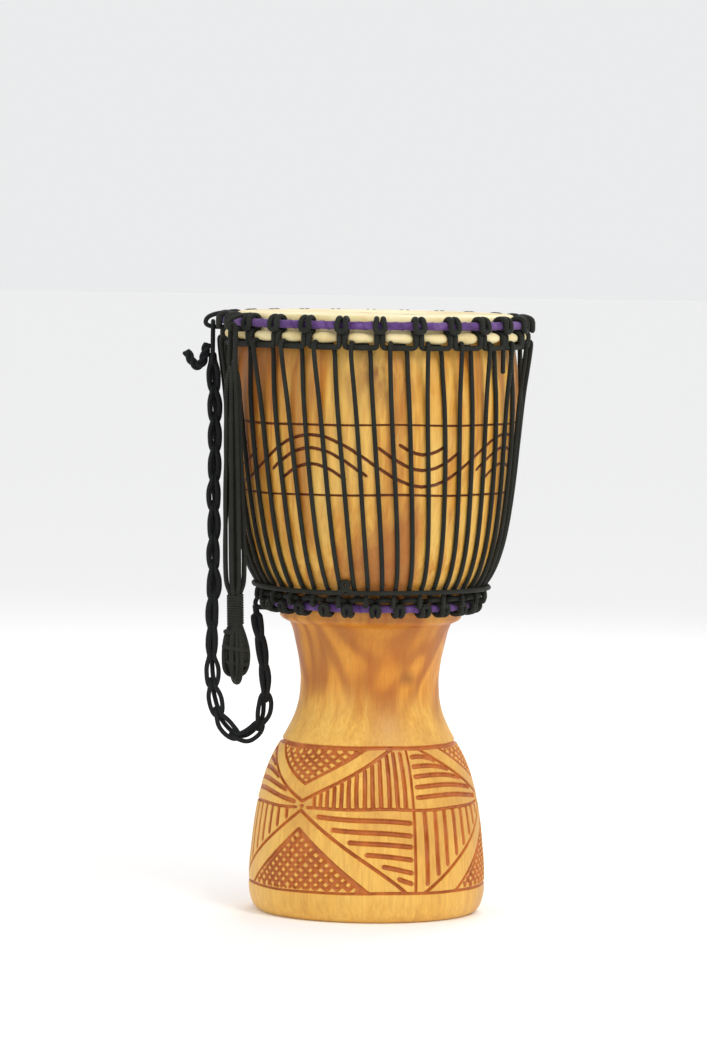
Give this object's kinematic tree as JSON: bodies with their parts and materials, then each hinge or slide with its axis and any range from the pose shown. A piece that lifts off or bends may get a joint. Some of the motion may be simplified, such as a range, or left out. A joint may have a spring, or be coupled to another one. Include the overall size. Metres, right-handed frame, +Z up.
{
  "type": "djembe",
  "caption": "Goblet-shaped wooden hand drum with a goatskin head, rope tensioning over cloth-wrapped rings, a braided carrying strap and a hank of spare rope.",
  "frame": {"origin": "centre of the foot's resting rim, on the surface it stands on", "axes": "+Z up along the drum's axis to the playing head, -Y the front, strap on the -X side"},
  "size_m": [0.349, 0.3192, 0.6],
  "materials": {
    "carved_wood": "oiled hardwood with carved grooves",
    "goatskin": "shaved rawhide, dry and slightly translucent",
    "steel_rod": "bare welded rod, hidden under cloth or skin",
    "ring_cloth": "tightly wound purple cotton",
    "tension_cord": "dark pre-stretched braided cord",
    "strap_cord": "black braided cord worked into a chain"
  },
  "bodies": {
    "drum": {"shell": "carved_wood", "drumhead": "goatskin", "flesh_ring": "steel_rod", "crown_ring": "steel_rod", "crown_ring_cloth": "ring_cloth", "base_ring": "steel_rod", "base_ring_cloth": "ring_cloth", "crown_loop_rope": "tension_cord", "base_loop_rope": "tension_cord", "tension_rope": "tension_cord", "tail_wrap": "tension_cord", "tail_knot": "tension_cord", "crown_rope_tail": "tension_cord", "hank_tie": "tension_cord", "strap_tie_top": "strap_cord", "strap_tie_base": "strap_cord"},
    "strap": {"carry_strap": "strap_cord", "strap_link": "strap_cord", "strap_tail": "strap_cord"},
    "hank": {"rope_hank": "tension_cord", "hank_hanger": "tension_cord", "hank_binding": "tension_cord"}
  },
  "joints": [
    {"name": "strap_swing", "type": "hinge", "parent": "drum", "child": "strap", "pos_m": [-0.11436, -0.00299, 0.297], "axis": [-0.1687, -0.0044, 0.9857], "range_deg": [-20, 20]},
    {"name": "hank_swing", "type": "hinge", "parent": "drum", "child": "hank", "pos_m": [-0.14, -0.08919, 0.58845], "axis": [-0.5373, 0.8434, 0], "range_deg": [0, 80]}
  ]
}
